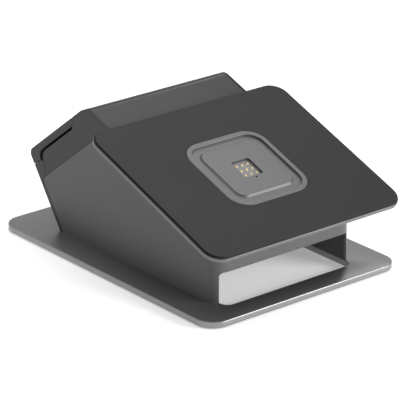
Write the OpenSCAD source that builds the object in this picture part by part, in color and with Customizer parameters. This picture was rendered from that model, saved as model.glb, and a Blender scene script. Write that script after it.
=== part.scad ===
// Counter-top docking stand: a flat base plate, a wedge body with a front bay,
// a sloped tray with a spring-contact dock, and a rear hub behind a hinged door.
// Millimetres. X right, Y back, Z up, origin under the middle of the stand's box.

/* [Base plate] */
// Width of the base plate
base_w = 250; // [244:1:260]
// Length of the base plate, front to back
base_l = 345.5; // [340:0.5:356]
// Thickness of the base plate
base_t = 6.7; // [6:0.1:8]
// Corner radius of the base plate
base_r = 20.5; // [14:0.5:24]
// Strip of plate in front of the bay cut-out
lip_w = 26.25; // [22:0.25:28]
// Height of the rubber feet below the plate
foot_proud = 1; // [0.6:0.1:2]

/* [Wedge body] */
// Width over the body's side walls
body_w = 183.6; // [182:0.2:188]
// Wall thickness of the body and the hub
wall = 3; // [2.6:0.1:3.4]
// Radius of the body's front corners
body_r = 18.5; // [16:0.5:20]
// Setback of the body's front face from the base plate's front edge
body_set = 33.75; // [33:0.25:36]
// Height of the front opening above the base plate's underside
bay_h = 38.3; // [34:0.1:40]

/* [Sloped tray] */
// Width of the tray
tray_w = 250; // [240:1:256]
// Length of the tray along the slope
tray_l = 212.3; // [210:0.1:216]
// Thickness of the tray
tray_t = 4; // [3.5:0.1:4.5]
// Thickness of the skin on the tray
skin_t = 2.5; // [2.3:0.1:2.8]
// Corner radius of the tray
tray_r = 19; // [14:0.5:22]
// Slope of the tray, in degrees
tilt = 19.84; // [19:0.01:20.5]
// Height of the tray's front top edge above the plate's underside
tray_z = 73.3; // [72:0.1:76]
// How far the tray reaches past the base plate in front
tray_out = 5.25; // [4:0.25:7]

/* [Dock] */
// Width of the dock ring
ring_w = 99.6; // [98:0.1:102]
// Length of the dock ring
ring_l = 102.1; // [100:0.1:104]
// Side of the raised boss at its foot
boss_w = 75.4; // [74:0.1:77]
// Height of the boss above the tray
boss_h = 2.1; // [2:0.1:2.4]
// Pitch of the contact pins across
pin_px = 7.2; // [7:0.1:7.4]
// Pitch of the contact pins along the slope
pin_pv = 7.5; // [7.3:0.1:7.7]
// Radius of the hole for the lamp's light pipe
lamp_r = 1.2; // [0.9:0.1:1.2]
// Radius of a contact pin
pin_r = 1.2; // [1:0.05:1.2]

/* [Rear hub] */
// Angle of the hub's back slope below level, in degrees
back_tilt = 37.4; // [37:0.1:38]
// Angle of the hub's rear face above level, in degrees
rear_tilt = 55.4; // [55:0.1:56]
// Distance of the hub's rear foot behind the plate's centre
rear_y = 113.5; // [112:0.5:115]
// Distance of the ridge behind the plate's centre
ridge_y = 67.4; // [66:0.2:69]
// Radius of the bend along the hub's ridge
ridge_r = 16; // [12:0.5:16]
// Thickness of the rear door at its ends
door_t = 7.5; // [7:0.1:8]
// Clearance under the rear door
door_gap = 2.8; // [2.4:0.1:3.2]

/* [Hidden] */

$fn = 48;
gap = 0.3;                                  // shut line between fixed covers
fit = 0.05;                                 // radial clearance of screws and pins
side_x = body_w / 2;
in_x = side_x - wall;                       // inner face of the body's side walls
hub_x = in_x - 0.5;                         // half width of the parts between them
plate_y = tray_out / 2;                     // centre of the base plate in the frame
body_y = -base_l / 2 + body_set;            // front face of the body
tray_y = -base_l / 2 - tray_out;            // front edge of the tray
drop = 6.6;                                 // body's top below the tray's top face
riser = drop - tray_t;
flange = 12;                                // ledge inside the body's top rim
bay_x = 83.5;                               // half width inside the bay
bay_back = 30;
bay_top = bay_h + 0.7;
cut_x = 83.3;                               // half width of the plate's cut-out
dock_v = tray_l / 2;
inset = 5;                                  // grey wall's rear edge inside the rear face
cheek_drop = 33.5;                          // cheek's depth below the back slope
seam_y = 88.5;                              // door's front seam
lip_t = 14;                                 // door's rear lip
slot_t = 17.3;                              // door's rear lip with the slot behind it
lip_z = 67.8;                               // height of the door's lower seam
knuckle_r = 1.4;
hinge_pin_r = 0.7;
pin_hole = hinge_pin_r + fit;
hinge_seam = 0.5;
foot_spots = [for (x = [-108, 108], y = [-155, 0, 155]) [x, y]];
liner_screws = [for (x = [-86.15, 86.15], y = [-105, -10]) [x, y]];
post_screws = [for (x = [-80, 80]) [x, 45]];
hub_posts = [for (x = [-76, 76]) [x, 66]];
flange_screws = [for (x = [-82, 82], v = [62, 118, 172]) [x, v]];
pin_grid = [for (v = [1, 0, -1], x = [-1, 0, 1]) [x * pin_px, v * pin_pv]];
dock_corners = [for (x = [-1, 1], v = [-1, 1]) [x, v]];
magnet_x = 50;

// ---- lines and corners of the side outline, as [y, z] ----

// A line through point p at angle a, moved d to its right
function line(p, a, d) = [p + d * [sin(a), -cos(a)], a];
// The point where two lines cross
function meet(l, m) =
    let (u = [cos(l[1]), sin(l[1])], w = [cos(m[1]), sin(m[1])], q = m[0] - l[0])
    l[0] + u * (q.x * w.y - q.y * w.x) / (u.x * w.y - u.y * w.x);
function slope_line(d) = line([tray_y, tray_z], tilt, drop + d);
ridge = meet(slope_line(0), [[ridge_y, 0], 90]);
function back_line(d) = line(ridge, -back_tilt, d);
function rear_line(d) = line([rear_y, base_t], rear_tilt, -d);
function upright(y) = [[y, 0], 90];
function level(z) = [[0, z], 0];
// A convex or concave corner c between p and q, rounded to radius r in n steps
function arc_corner(p, c, q, r, n) =
    let (u = (p - c) / norm(p - c), w = (q - c) / norm(q - c), half = acos(u * w) / 2,
         m = c + (u + w) / norm(u + w) * r / sin(half), a = c + u * r / tan(half) - m,
         turn = (u.x * w.y - u.y * w.x > 0 ? -1 : 1) * (180 - 2 * half))
    [for (i = [0:n]) let (t = turn * i / n)
        m + [a.x * cos(t) - a.y * sin(t), a.x * sin(t) + a.y * cos(t)]];
// An outline of corners [point, radius]
function outline(c) = [for (i = [0:len(c) - 1]) let (k = len(c))
    each (c[i][1] > 0 ? arc_corner(c[(i + k - 1) % k][0], c[i][0], c[(i + 1) % k][0], c[i][1], 8)
                      : [c[i][0]])];

lip_out = meet(rear_line(0), level(lip_z));
lip_a = 180 - atan2(9.2, 14.9);             // direction of the lower seam, inwards
function lip_line(d) = [lip_out + d * [sin(lip_a), -cos(lip_a)], lip_a];
slot_end = meet(lip_line(0), rear_line(slot_t));
grey_foot = meet(rear_line(inset), level(base_t));
grey_corner = meet(back_line(cheek_drop), rear_line(inset));
grey_top = meet(back_line(cheek_drop), slope_line(0));
cheek_foot = meet(back_line(cheek_drop), upright(slot_end.x - 6.3));

// ---- frames ----

module on_plate() translate([0, plate_y, foot_proud]) children();
module on_slope() on_plate() translate([0, tray_y, tray_z]) rotate([tilt, 0, 0]) children();
module on_dock() on_slope() translate([0, dock_v, 0]) children();
seam_top = meet(back_line(0), upright(seam_y));
// Frame on the door's front seam: Y down the back slope, Z out of it
module on_seam() translate([0, seam_top.x, seam_top.y]) rotate([-back_tilt, 0, 0]) children();
module on_back() on_plate() on_seam() children();
// Extrudes a side outline along X from x0 to x1
module side(pts, x0, x1) translate([x0, 0, 0]) rotate([90, 0, 90]) linear_extrude(x1 - x0) polygon(pts);

// ---- plain shapes ----

module rounded(w, l, r) {
    square([w - 2 * r, l], center = true);
    square([w, l - 2 * r], center = true);
    for (x = [-1, 1], y = [-1, 1]) translate([x * (w / 2 - r), y * (l / 2 - r)]) circle(r);
}

module slab(w, l, r, z0, z1) translate([0, 0, z0]) linear_extrude(z1 - z0) rounded(w, l, r);

// A slab whose sides lean in by c from foot to top
module leaning_slab(w, l, r, h, c) {
    x = w / 2;
    y = l / 2;
    rotate([90, 0, 0]) translate([0, 0, r - y]) linear_extrude(l - 2 * r)
        polygon([[-x, 0], [x, 0], [x - c, h], [c - x, h]]);
    rotate([90, 0, 90]) translate([0, 0, r - x]) linear_extrude(w - 2 * r)
        polygon([[-y, 0], [y, 0], [y - c, h], [c - y, h]]);
    for (i = [-1, 1], j = [-1, 1]) translate([i * (x - r), j * (y - r), 0]) cylinder(h, r, r - c);
}

// A screw with its head's top at z = 0 and its shank up to z = l
module screw(r, head_r, head_h, l) {
    cylinder(h = head_h, r = head_r);
    cylinder(h = l, r = r);
}

module rod(r, z0, z1) translate([0, 0, z0]) cylinder(h = z1 - z0, r = r);

// ---- base ----

module base_plate() color([0.45, 0.45, 0.46]) on_plate() difference() {
    slab(base_w, base_l, base_r, 0, base_t);
    translate([0, (bay_back - 2 + lip_w - base_l / 2) / 2, 0])
        slab(2 * cut_x, bay_back - 2 - lip_w + base_l / 2, 9.5, -1, base_t + 1);
    for (p = foot_spots) translate([p.x, p.y, 0]) rod(9.1, -1, 1.5);
    for (p = liner_screws) translate([p.x, p.y, 0]) {
        rod(1.25 + fit, -1, base_t + 1);
        rod(2.5, -1, 2.2);
    }
    for (p = concat(post_screws, hub_posts)) translate([p.x, p.y, 0]) {
        rod(2 + fit, -1, base_t + 1);
        rod(4, -1, 3.2);
    }
}

module rubber_feet() color([0.1, 0.1, 0.1]) for (p = foot_spots)
    translate([p.x, plate_y + p.y, 0]) rotate_extrude()
        polygon([[0, 0], [8.2, 0], [9, 0.8], [9, foot_proud + 1.5], [0, foot_proud + 1.5]]);

module base_screws() color([0.55, 0.55, 0.57]) on_plate() {
    for (p = liner_screws) translate([p.x, p.y, 0.2]) screw(1.25, 2.4, 2, 16);
    for (p = concat(post_screws, hub_posts)) translate([p.x, p.y, 0.2]) screw(2, 3.9, 3, 18);
}

// ---- wedge body ----

// Footprint with rounded front corners, shrunk by d, reaching back to y
module footprint(d, y) {
    x = side_x - d;
    r = body_r - d;
    translate([-x, body_y + d + r]) square([2 * x, y - body_y - d - r]);
    translate([r - x, body_y + d]) square([2 * (x - r), y - body_y - d]);
    for (i = [-1, 1]) translate([i * (x - r), body_y + d + r]) circle(r);
}

module wedge_shell() color([0.38, 0.38, 0.39]) on_plate() difference() {
    union() {
        difference() {
            intersection() {
                translate([0, 0, base_t]) linear_extrude(160) footprint(0, 170);
                side(outline([[[body_y - 1, base_t], 0], [meet(slope_line(0), upright(body_y - 1)), 0],
                    [grey_top, 0], [grey_corner, 8], [grey_foot, 0]]), -side_x, side_x);
            }
            intersection() {
                linear_extrude(200) footprint(wall, 180);
                side([[body_y, -1], meet(slope_line(wall), upright(body_y)),
                    meet(slope_line(wall), upright(0)), [0, 200], [180, 200], [180, -1]], -side_x, side_x);
            }
            linear_extrude(200) footprint(wall + flange, 180);
        }
        for (p = post_screws) translate([p.x, p.y, 0]) {
            rod(5, base_t, 26);
            translate([p.x > 0 ? 0 : -10, -2, base_t]) cube([10, 4, 18]);
        }
    }
    for (p = post_screws) translate([p.x, p.y, 0]) rod(2 + fit, base_t - 1, 20);
    translate([0, body_y, 0]) rotate([90, 0, 0]) translate([0, base_t + (bay_h - base_t) / 2 - 5, -20])
        linear_extrude(30) rounded(2 * bay_x + 0.4, bay_h - base_t + 10, 4.5);
    for (p = flange_screws) translate([0, tray_y, tray_z]) rotate([tilt, 0, 0])
        translate([p.x, p.y, 0]) rod(1.5 + fit, -14, -drop + 1);
}

module bay_liner() color([0.16, 0.16, 0.17]) on_plate() difference() {
    translate([0, 0, base_t]) linear_extrude(bay_top + wall - base_t) footprint(wall + 0.05, bay_back + wall);
    translate([-bay_x, body_y - 1, base_t - 1]) cube([2 * bay_x, bay_back - body_y + 1, bay_top - base_t + 1]);
    for (p = liner_screws) translate([p.x, p.y, 0]) rod(1.25 + fit, base_t - 1, 18);
}

// ---- tray and skin ----

module dock_tray() color([0.45, 0.45, 0.46]) difference() {
    union() {
        on_slope() translate([0, dock_v, 0]) slab(tray_w, tray_l, tray_r, -tray_t, 0);
        on_slope() for (x = [-86, 78]) translate([x, 46, -drop]) cube([8, 154, riser + 0.5]);
        on_slope() for (v = [46, 192]) translate([-80, v, -drop]) cube([160, 8, riser + 0.5]);
    }
    on_dock() slab(93, 95.4, 15, -tray_t - 1, 1);
    on_slope() for (p = flange_screws) translate([p.x, p.y, 0]) rod(1.5 + fit, -drop - 1, -1.2);
}

module tray_screws() color([0.55, 0.55, 0.57]) on_slope() for (p = flange_screws)
    translate([p.x, p.y, -drop - wall - 2]) screw(1.5, 2.8, 2, 9.6);

module top_skin() color([0.2, 0.2, 0.21]) on_dock() difference() {
    union() {
        slab(tray_w - 1, tray_l - 1, tray_r - 0.5, 0, skin_t - 1.4);
        translate([0, 0, skin_t - 1.4]) leaning_slab(tray_w - 1, tray_l - 1, tray_r - 0.5, 1.4, 1.4);
    }
    slab(ring_w + 0.4, ring_l + 0.4, 22.2, -1, skin_t + 1);
}

// ---- dock ----

module dock_ring() color([0.5, 0.5, 0.5]) on_dock() difference() {
    union() {
        slab(ring_w, ring_l, 22, 0, skin_t);
        slab(92.6, 95, 14.8, -1.6, 0.5);
    }
    slab(89.4, 91, 17, 0, skin_t + 1);
    slab(66, 66, 8, -2, 1);
}

module dock_boss() color([0.5, 0.5, 0.5]) on_dock() difference() {
    union() {
        leaning_slab(boss_w, boss_w, 12, boss_h, 2.4);
        slab(65.6, 65.6, 7.8, -tray_t, 0.5);
    }
    slab(23, 26, 2.5, -tray_t - 1, boss_h + 1);
    translate([0, -15.3, 0]) rod(lamp_r, -tray_t - 1, boss_h + 1);
    for (p = dock_corners) {
        translate([p.x * 23.5, p.y * 23.5, 0]) rod(6.55, -tray_t - 1, -0.8);
        translate([p.x * 15.5, p.y * 17.5, 0]) rod(1 + fit, -tray_t - 1, -1.5);
    }
    for (a = [0:90:270]) rotate(a) translate([27, 0, 0]) rod(1.5 + fit, -tray_t - 1, 0.2);
}

module dock_keeper() color([0.6, 0.6, 0.62]) on_dock() difference() {
    slab(100, 102, 10, -tray_t - 1.6, -tray_t);
    slab(37, 41, 2, -tray_t - 2, -tray_t + 1);
    for (a = [0:90:270]) rotate(a) translate([27, 0, 0]) rod(1.5 + fit, -tray_t - 3, 0);
}

module dock_screws() color([0.55, 0.55, 0.57]) on_dock() for (a = [0:90:270])
    rotate(a) translate([27, 0, -tray_t - 1.6 - 1.8]) screw(1.5, 2.8, 1.8, 7);

module dock_magnets() color([0.75, 0.75, 0.77]) on_dock() for (p = dock_corners)
    translate([p.x * 23.5, p.y * 23.5, 0]) rod(6.5, -tray_t, -0.9);

module light_pipe() color([0.05, 0.05, 0.06]) on_dock() translate([0, -15.3, 0])
    rod(lamp_r - 0.05, -tray_t - 2.4, 1.6);

// ---- spring contacts, heights on the dock's axis ----

block_top = boss_h - 2.8;
lip_h = -1.9;                               // underside of a barrel's mouth
barrel_foot = -6.4;
pin_top = boss_h - 1.7;
pin_flange = -2.7;                          // underside of a pin's flange

module contact_block() color([0.36, 0.36, 0.37]) on_dock() difference() {
    union() {
        slab(22.8, 25.8, 2.4, -tray_t - 1, block_top);
        slab(36, 40, 2, -tray_t - 2, -tray_t);
    }
    for (p = pin_grid) translate(p) rod(1.8, barrel_foot - 1, 1);
    for (p = dock_corners) translate([p.x * 15.5, p.y * 17.5, 0]) rod(1 + fit, -8, 0);
    translate([0, -15.3, 0]) rod(lamp_r, -8, 0);
}

module contact_barrels() color([0.72, 0.56, 0.28]) on_dock() for (p = pin_grid) translate(p) rotate_extrude()
    polygon([[0, -7.9], [0.45, -7.9], [0.45, barrel_foot], [1.8, barrel_foot], [1.8, block_top],
        [pin_r + fit, block_top], [pin_r + fit, lip_h], [1.5, lip_h], [1.5, barrel_foot + 0.5],
        [0, barrel_foot + 0.5]]);

module contact_springs() color([0.7, 0.7, 0.72]) on_dock() for (p = pin_grid) translate(p) difference() {
    rod(1.4, barrel_foot + 0.5, pin_flange);
    rod(1, barrel_foot, 0);
}

module contact_pin(i) color([0.83, 0.65, 0.3]) on_dock() translate(pin_grid[i - 1]) {
    rod(1.45, pin_flange, lip_h - 0.02);
    rod(pin_r, pin_flange, pin_top - pin_r);
    translate([0, 0, pin_top - pin_r]) sphere(pin_r);
}

module contact_board() color([0.1, 0.3, 0.18]) on_dock() difference() {
    slab(38, 44, 1.5, barrel_foot - 1.6, barrel_foot);
    for (p = pin_grid) translate(p) rod(0.5, -9, 0);
    for (p = dock_corners) translate([p.x * 15.5, p.y * 17.5, 0]) rod(1 + fit, -9, 0);
}

module board_screws() color([0.55, 0.55, 0.57]) on_dock() for (p = dock_corners)
    translate([p.x * 15.5, p.y * 17.5, barrel_foot - 1.6 - 1.4]) screw(1, 1.9, 1.4, 7.4);

// A point of the slope's frame as [y, z] on the plate's frame
function slope_point(v, h) = [tray_y, tray_z] + v * [cos(tilt), sin(tilt)] + h * [-sin(tilt), cos(tilt)];
// A point of the back slope's frame as [y, z] on the plate's frame
function back_point(s, h) = seam_top + s * [cos(back_tilt), -sin(back_tilt)] + h * [sin(back_tilt), cos(back_tilt)];
// A band of thickness t along route r
function band(r, t) = let (n = len(r) - 1, side = [for (i = [0:n])
        let (d = r[min(i + 1, n)] - r[max(i - 1, 0)]) [-d.y, d.x] / norm(d) * t / 2])
    concat([for (i = [0:n]) r[i] + side[i]], [for (i = [n:-1:0]) r[i] - side[i]]);

module contact_ribbon() color([0.75, 0.75, 0.72]) on_plate() side(band([
    slope_point(dock_v + 10, barrel_foot - 1.9), slope_point(dock_v + 26, barrel_foot - 1.9),
    slope_point(dock_v + 45, barrel_foot - 3), slope_point(dock_v + 70, barrel_foot - 8),
    [20, 127], [40, 125], [61, 122], back_point(3.7, -22)], 0.6), -7, 7);

// ---- rear hub ----

door_under = door_t + door_gap;

module hub_housing() color([0.2, 0.2, 0.21]) on_plate() {
    difference() {
        union() {
            difference() {
                side(outline([[[60, base_t], 0], [meet(slope_line(wall + 0.1), upright(60)), 0],
                    [meet(slope_line(wall + 0.1), back_line(wall + 0.1)), ridge_r - wall],
                    [meet(back_line(wall + 0.1), upright(seam_y)), 0],
                    [meet(back_line(door_under), upright(seam_y)), 0],
                    [meet(back_line(door_under), rear_line(slot_t)), 12],
                    [meet(rear_line(slot_t), level(base_t)), 0]]), -hub_x, hub_x);
                side(outline([[[62.5, 0], 0], [meet(slope_line(5.6), upright(62.5)), 0],
                    [meet(slope_line(5.6), back_line(5.6)), ridge_r - 6],
                    [meet(back_line(5.6), upright(seam_y - 2.5)), 0],
                    [meet(back_line(door_under + 2.5), upright(seam_y - 2.5)), 0],
                    [meet(back_line(door_under + 2.5), rear_line(slot_t + 3.5)), 0],
                    [meet(rear_line(slot_t + 3.5), level(0)), 0]]), 2.5 - hub_x, hub_x - 2.5);
            }
            on_seam() translate([-80, 16, -32]) cube([160, 52, 32 - door_under - 1]);
            for (p = hub_posts) translate([p.x, p.y, 0]) rod(5, base_t, 26);
        }
        on_seam() translate([-78, 18, -30]) cube([156, 48, 40]);
        on_seam() translate([-30, 60, -20]) cube([60, 30, 30]);
        for (x = usb_x) on_seam() translate([x - 6.7, 10, port_h - 3.1]) cube([13.4, 10, 6.2]);
        on_seam() translate([net_x - 8.1, 10, port_h - 6.9]) cube([16.2, 10, 13.8]);
        on_seam() translate([power_x - 4.6, 10, port_h - 5.6]) cube([9.2, 10, 11.2]);
        translate([-9, 55, 115]) cube([18, 12, 14]);
        for (p = hub_posts) translate([p.x, p.y, 0]) rod(2 + fit, base_t - 1, 20);
        for (i = [-1, 1]) translate([i * hinge_x, 0, 0]) on_seam() translate([-3, -1, -door_under + 0.01])
            cube([6, 4, door_under]);
    }
}

module ridge_cover() color([0.27, 0.27, 0.28]) on_plate() {
    side(concat(
        [meet(slope_line(wall), upright(0)), meet(slope_line(0), upright(0))],
        arc_corner(meet(slope_line(0), upright(0)), ridge, seam_top, ridge_r, 8),
        [seam_top, meet(back_line(wall), upright(seam_y))],
        arc_corner(seam_top, meet(slope_line(wall), back_line(wall)),
            meet(slope_line(wall), upright(0)), ridge_r - wall, 8)), -hub_x, hub_x);
    // lugs that carry the door's hinge pins
    for (i = [-1, 1]) translate([i * hinge_x, 0, 0]) difference() {
        union() {
            side(band([back_point(-1, -hinge_h), back_point(hinge_s, -hinge_h)], 2), -2.5, 2.5);
            on_seam() translate([-2.5, hinge_s, -hinge_h]) rotate([0, 90, 0]) cylinder(h = 5, r = knuckle_r);
        }
        on_seam() translate([-4, hinge_s, -hinge_h]) rotate([0, 90, 0]) cylinder(h = 8, r = hinge_pin_r);
    }
}

// Side plate over the end of the hub, from x0 to x1
module cheek(x0, x1) color([0.22, 0.22, 0.23]) on_plate() side(outline([
    [meet(back_line(cheek_drop - gap), slope_line(0)), 0], [ridge, ridge_r], [seam_top, 0],
    [meet(back_line(door_under), upright(seam_y)), 0],
    [meet(back_line(door_under), rear_line(slot_t)), 12], [slot_end, 0],
    [meet(back_line(cheek_drop - gap), upright(cheek_foot.x)), 0]]), x0, x1);

module cheek_left() cheek(-side_x, -hub_x - gap);
module cheek_right() cheek(hub_x + gap, side_x);

function panel_outline() = outline([
    [[rear_y, base_t], 0], [lip_out, 0], [meet(lip_line(0), rear_line(slot_t - gap)), 0],
    [meet(back_line(cheek_drop - gap), upright(cheek_foot.x + gap)), 0],
    [meet(back_line(cheek_drop - gap), rear_line(inset - gap)), 8.3],
    [meet(rear_line(inset - gap), level(base_t)), 0]]);

module rear_panel() color([0.2, 0.2, 0.21]) on_plate() difference() {
    union() {
        side(panel_outline(), -side_x, side_x);
        for (x = [-41.5, 38.5]) side([meet(rear_line(2), level(base_t)), meet(rear_line(2), level(50)),
            meet(rear_line(slot_t), level(50)), meet(rear_line(slot_t), level(base_t))], x, x + wall);
    }
    for (x = [[-hub_x, -41.5], [-38.5, 38.5], [41.5, hub_x]])
        side([meet(rear_line(wall), level(0)), meet(rear_line(wall), lip_line(-wall)),
            meet(rear_line(slot_t + 2), lip_line(-wall)), meet(rear_line(slot_t + 2), level(0))], x[0], x[1]);
    // cable exit under the door's lip
    side([lip_out + [1, -7], lip_out + [1, 2], slot_end + [-3, 5], slot_end + [-3, -9]], -20, 20);
    on_lip() for (i = [-1, 1]) translate([i * magnet_x, 8, 0]) rod(3.6, -1.5, 1);
}

// Frame on the lower seam: Y inwards along it, Z up towards the door
module on_lip() translate([0, lip_out.x, lip_out.y]) rotate([lip_a, 0, 0]) mirror([0, 0, 1]) children();

module catch_plates() color([0.62, 0.62, 0.64]) on_plate() on_lip()
    for (i = [-1, 1]) translate([i * magnet_x, 8, 0]) rod(3.5, -1.5, -0.2);

// ---- rear door ----

hinge_x = 62;
hinge_h = knuckle_r;                        // hinge axis below the back slope
hinge_s = (knuckle_r + hinge_seam + hinge_h * sin(back_tilt)) / cos(back_tilt);
hinge_p = back_point(hinge_s, -hinge_h);
door_seam = 0.5;                            // lower shut line of the door
front_x = hinge_p.x - knuckle_r;            // door's upright front face

module rear_door() color([0.22, 0.22, 0.23]) on_plate() difference() {
    side(outline([
        [meet(upright(front_x), back_line(0)), knuckle_r], [meet(back_line(0), rear_line(0)), 7],
        [meet(rear_line(0), lip_line(door_seam)), 0], [meet(rear_line(lip_t), lip_line(door_seam)), 0],
        [meet(back_line(door_t), rear_line(lip_t)), 9], [meet(back_line(door_t), upright(front_x)), 0]]),
        -side_x, side_x);
    // the underside is hollow between its ribs and magnet posts
    for (x = [[-86, -56], [-44, 44], [56, 86]])
        side([back_point(14, -door_t - 1), back_point(14, -wall), meet(back_line(wall), rear_line(wall)),
            meet(rear_line(wall), lip_line(door_seam + wall)), meet(rear_line(lip_t + 1), lip_line(door_seam + wall)),
            meet(rear_line(lip_t + 1), back_line(door_t + 1))], x[0], x[1]);
    for (i = [-1, 1]) translate([i * hinge_x, hinge_p.x, hinge_p.y]) rotate([0, 90, 0]) {
        translate([0, 0, -12]) cylinder(h = 24, r = pin_hole);
        translate([0, 0, -3]) cylinder(h = 6, r = 2.6);
    }
    // cable exit through the lip's lower rim
    side([lip_out + [8, 0], lip_out + [0, -4], slot_end + [-4, -4], slot_end + [4, 9]], -20, 20);
    on_lip() for (i = [-1, 1]) translate([i * magnet_x, 8, 0]) rod(3.1, -1, door_seam + 4);
}

module hinge_pins() color([0.7, 0.7, 0.72]) on_plate() for (i = [-1, 1])
    translate([i * hinge_x - 11.5, hinge_p.x, hinge_p.y]) rotate([0, 90, 0]) cylinder(h = 23, r = hinge_pin_r);

module door_magnets() color([0.75, 0.75, 0.77]) on_plate() on_lip()
    for (i = [-1, 1]) translate([i * magnet_x, 8, 0]) rod(3, door_seam + 0.1, door_seam + 4);

// ---- ports under the door ----

port_h = -21.5;                             // middle of the sockets below the back slope
usb_x = [-58, -39, -20, -1];
net_x = 26;
power_x = 55;

module port_board() color([0.1, 0.3, 0.18]) on_back() translate([-66, 4, -34]) cube([132, 1.6, 20.5]);

// A socket body between the board and the port recess, with its mouth cut by the children
module socket(x, w, h) translate([x, 5.6, port_h]) difference() {
    translate([-w / 2, 0, -h / 2]) cube([w, 13.4, h]);
    children();
}

module usb_sockets() color([0.66, 0.66, 0.68]) on_back() for (x = usb_x) socket(x, 13.2, 5.8) difference() {
    translate([-6.1, 4, -2.4]) cube([12.2, 12, 4.8]);
    translate([-5.5, 0, -0.2]) cube([11, 12.5, 1.9]);
}

module network_socket() color([0.6, 0.6, 0.62]) on_back() socket(net_x, 16, 13.5) difference() {
    union() {
        translate([-5.9, 3, -4]) cube([11.8, 12, 8]);
        translate([-3.2, 3, -5.6]) cube([6.4, 12, 2]);
    }
    translate([-5, 2, 3.6]) rotate([-12, 0, 0]) cube([10, 8, 1]);
}

module power_inlet() color([0.12, 0.12, 0.12]) on_back() socket(power_x, 9, 11) rotate([-90, 0, 0]) difference() {
    rod(3.2, 3, 16);
    rod(1, 2, 12);
}

base_plate();
rubber_feet();
base_screws();
wedge_shell();
bay_liner();
dock_tray();
tray_screws();
top_skin();
dock_ring();
dock_boss();
dock_keeper();
dock_screws();
dock_magnets();
light_pipe();
contact_block();
contact_barrels();
contact_springs();
contact_board();
board_screws();
contact_ribbon();
contact_pin(1);  // contact_pin_1
contact_pin(2);  // contact_pin_2
contact_pin(3);  // contact_pin_3
contact_pin(4);  // contact_pin_4
contact_pin(5);  // contact_pin_5
contact_pin(6);  // contact_pin_6
contact_pin(7);  // contact_pin_7
contact_pin(8);  // contact_pin_8
contact_pin(9);  // contact_pin_9
hub_housing();
ridge_cover();
cheek_left();
cheek_right();
rear_panel();
rear_door();
hinge_pins();
door_magnets();
catch_plates();
port_board();
usb_sockets();
network_socket();
power_inlet();
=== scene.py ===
from math import cos, radians, sin

import bmesh
import bpy
from mathutils import Matrix, Vector


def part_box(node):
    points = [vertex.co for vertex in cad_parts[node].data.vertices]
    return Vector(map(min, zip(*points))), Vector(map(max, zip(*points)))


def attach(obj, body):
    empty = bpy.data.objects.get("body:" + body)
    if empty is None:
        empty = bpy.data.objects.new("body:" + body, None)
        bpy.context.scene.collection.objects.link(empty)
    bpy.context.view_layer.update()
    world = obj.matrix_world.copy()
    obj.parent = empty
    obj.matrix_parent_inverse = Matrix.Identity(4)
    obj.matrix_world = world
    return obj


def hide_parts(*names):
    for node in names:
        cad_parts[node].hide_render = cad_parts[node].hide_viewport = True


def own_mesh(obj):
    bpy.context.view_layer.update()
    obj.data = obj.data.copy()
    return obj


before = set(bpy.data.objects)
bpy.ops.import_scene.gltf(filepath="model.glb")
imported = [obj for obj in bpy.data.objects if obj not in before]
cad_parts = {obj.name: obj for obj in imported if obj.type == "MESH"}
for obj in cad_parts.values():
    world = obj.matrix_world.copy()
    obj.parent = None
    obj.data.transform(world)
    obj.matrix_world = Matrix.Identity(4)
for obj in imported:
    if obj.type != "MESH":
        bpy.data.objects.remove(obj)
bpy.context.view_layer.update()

# ---- Camera ----
# A long lens stands well off the stand's left front corner, a little above it,
# so that the sides stay nearly parallel.

AIM = Vector((-0.00025, -0.00253, 0.0547))
BEARING = radians(39.429)
RISE = radians(21.766)
DISTANCE = 2.8429

lens = bpy.data.cameras.new("camera")
lens.sensor_width = 36
lens.lens = 249.85
lens.clip_end = 30
camera = bpy.data.objects.new("camera", lens)
away = Vector((-sin(BEARING) * cos(RISE), -cos(BEARING) * cos(RISE), sin(RISE)))
camera.location = AIM + DISTANCE * away
camera.rotation_euler = (radians(90) - RISE, 0, -BEARING)
bpy.context.scene.collection.objects.link(camera)
bpy.context.scene.camera = camera

# ---- Base plate ----
# The stand's foot is one steel plate with rounded corners and a cable cut-out.
# It is laser cut, its edges are rounded over, and it is powder coated satin grey.

MM = 0.001
CORNER_STEPS = 12
EDGE_STEPS = 4
SHARP_ANGLE = radians(35)


def ring(width, length, radius, height, middle=(0, 0)):
    """Points round a rounded rectangle, as many at any size."""
    points = []
    for quarter, (right, back) in enumerate(((1, 1), (-1, 1), (-1, -1), (1, -1))):
        for step in range(CORNER_STEPS + 1):
            turn = radians(90) * (quarter + step / CORNER_STEPS)
            x = right * (width / 2 - radius) + radius * cos(turn)
            y = back * (length / 2 - radius) + radius * sin(turn)
            points.append((middle[0] + x, middle[1] + y, height))
    return points


def rolled_edge(width, length, radius, height, roll, middle=(0, 0), hole=False):
    """Rings over a rounded-over edge, from the side wall to the face at that height.
    A negative roll is an edge whose face looks down."""
    rings = []
    for step in range(EDGE_STEPS + 1):
        turn = radians(90) * step / EDGE_STEPS
        inset = abs(roll) * (1 - cos(turn)) * (-1 if hole else 1)
        level = height - roll * (1 - sin(turn))
        rings.append(ring(width - 2 * inset, length - 2 * inset, radius - inset, level, middle))
    return rings


def add_piece(name, bm, place=Matrix()):
    """A new object with that mesh, smooth, put in place in the mesh itself."""
    bmesh.ops.recalc_face_normals(bm, faces=bm.faces)
    bm.transform(place)
    for face in bm.faces:
        face.smooth = True
    mesh = bpy.data.meshes.new(name)
    bm.to_mesh(mesh)
    bm.free()
    piece = bpy.data.objects.new(name, mesh)
    bpy.context.scene.collection.objects.link(piece)
    return piece


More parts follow.
